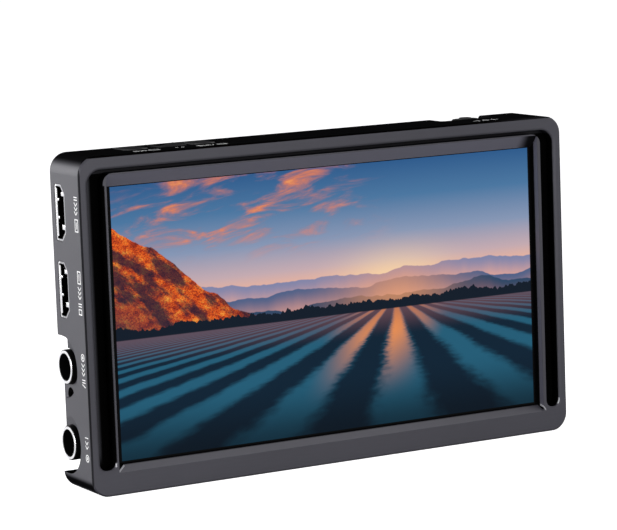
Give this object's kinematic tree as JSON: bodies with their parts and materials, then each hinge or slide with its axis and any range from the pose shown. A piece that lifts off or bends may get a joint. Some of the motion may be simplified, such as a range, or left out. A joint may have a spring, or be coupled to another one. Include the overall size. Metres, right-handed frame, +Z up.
{
  "type": "camera field monitor",
  "caption": "Flat rectangular camera-top monitor: machined housing with a hood channel, screen stack, side video sockets, sprung top keys, tripod threads and a rear battery plate.",
  "frame": {"origin": "centre of the bottom tripod thread's mouth, in the housing's bottom face at mid-depth", "axes": "+Z up, +X to the right seen from the front, +Y from the screen towards the back"},
  "size_m": [0.1527, 0.0306, 0.0922],
  "materials": {
    "housing": "bead-blasted and anodised dark gunmetal, satin",
    "cover_plastic": "fine-textured black",
    "key_plastic": "satin dark grey",
    "cover_glass": "polished",
    "display": "dark polarised panel",
    "gasket": "matt black foam",
    "tray_steel": "stamped",
    "acrylic": "clear white",
    "film": "white diffuser film",
    "frame_aluminium": "plain sheet",
    "screws": "black zinc",
    "circuit_board": "green solder mask",
    "chips": "moulded black",
    "thermal_pad": "grey silicone",
    "flex": "amber polyimide",
    "connector_plastic": "ivory",
    "socket_shell": "nickel plate",
    "socket_tongue": "black",
    "insulator": "white fluoropolymer",
    "contact_brass": "gold flash",
    "insert_brass": "turned",
    "jack_plastic": "black",
    "lead_insulation": "red silicone",
    "spring_steel": "bright wire"
  },
  "bodies": {
    "monitor": {"housing": "housing", "screen_glass": "cover_glass", "panel_gasket": "gasket", "lcd_panel": "display", "backlight_tray": "tray_steel", "light_guide": "acrylic", "led_strip": "connector_plastic", "diffuser_sheet": "film", "board_frame": "frame_aluminium", "frame_screws": "screws", "main_board": "circuit_board", "board_screws": "screws", "processor": "chips", "memory_chips": "chips", "thermal_pad": "thermal_pad", "heat_spreader": "frame_aluminium", "flex_connectors": "connector_plastic", "panel_flex": "flex", "key_flex": "flex", "power_flex": "flex", "hdmi_in_shell": "socket_shell", "hdmi_in_tongue": "socket_tongue", "hdmi_out_shell": "socket_shell", "hdmi_out_tongue": "socket_tongue", "sdi_out_jack": "socket_shell", "sdi_in_jack": "socket_shell", "sdi_out_insulator": "insulator", "sdi_in_insulator": "insulator", "sdi_out_contact": "contact_brass", "sdi_in_contact": "contact_brass", "bracket_screw": "screws", "rocker_pin": "spring_steel", "key_board": "circuit_board", "key_switches": "chips", "power_board": "circuit_board", "power_switch": "chips", "key_board_screws": "screws", "dc_jack": "jack_plastic", "dc_pin": "contact_brass", "headphone_jack": "jack_plastic", "usb_shell": "socket_shell", "usb_tongue": "socket_tongue", "bottom_insert": "insert_brass", "side_insert": "insert_brass", "rear_cover": "cover_plastic", "cover_screws": "screws", "battery_plate": "cover_plastic", "plate_screws": "screws", "battery_contacts": "contact_brass", "battery_leads": "lead_insulation", "latch_spring": "spring_steel"},
    "input_key": {"input_key": "key_plastic"},
    "menu_key": {"menu_key": "key_plastic"},
    "level_rocker": {"level_rocker": "key_plastic"},
    "power_key": {"power_key": "key_plastic"},
    "battery_latch": {"battery_latch": "key_plastic"}
  },
  "joints": [
    {"name": "input_key_press", "type": "slide", "parent": "monitor", "child": "input_key", "axis": [0, 0, -1], "range_m": [0, 0.00035], "stiffness_N_per_m": 300, "springref_m": -0.001},
    {"name": "menu_key_press", "type": "slide", "parent": "monitor", "child": "menu_key", "axis": [0, 0, -1], "range_m": [0, 0.00035], "stiffness_N_per_m": 300, "springref_m": -0.001},
    {"name": "level_rocker_tilt", "type": "hinge", "parent": "monitor", "child": "level_rocker", "pos_m": [-0.0439, 0.00355, 0.0896], "axis": [0, 1, 0], "range_deg": [-4, 4], "stiffness_Nm_per_rad": 0.02},
    {"name": "power_key_press", "type": "slide", "parent": "monitor", "child": "power_key", "axis": [0, 0, -1], "range_m": [0, 0.00035], "stiffness_N_per_m": 300, "springref_m": -0.001},
    {"name": "battery_latch_press", "type": "slide", "parent": "monitor", "child": "battery_latch", "axis": [0, -1, 0], "range_m": [0, 0.0018], "stiffness_N_per_m": 400, "springref_m": -0.001, "deforming": ["latch_spring"]}
  ]
}
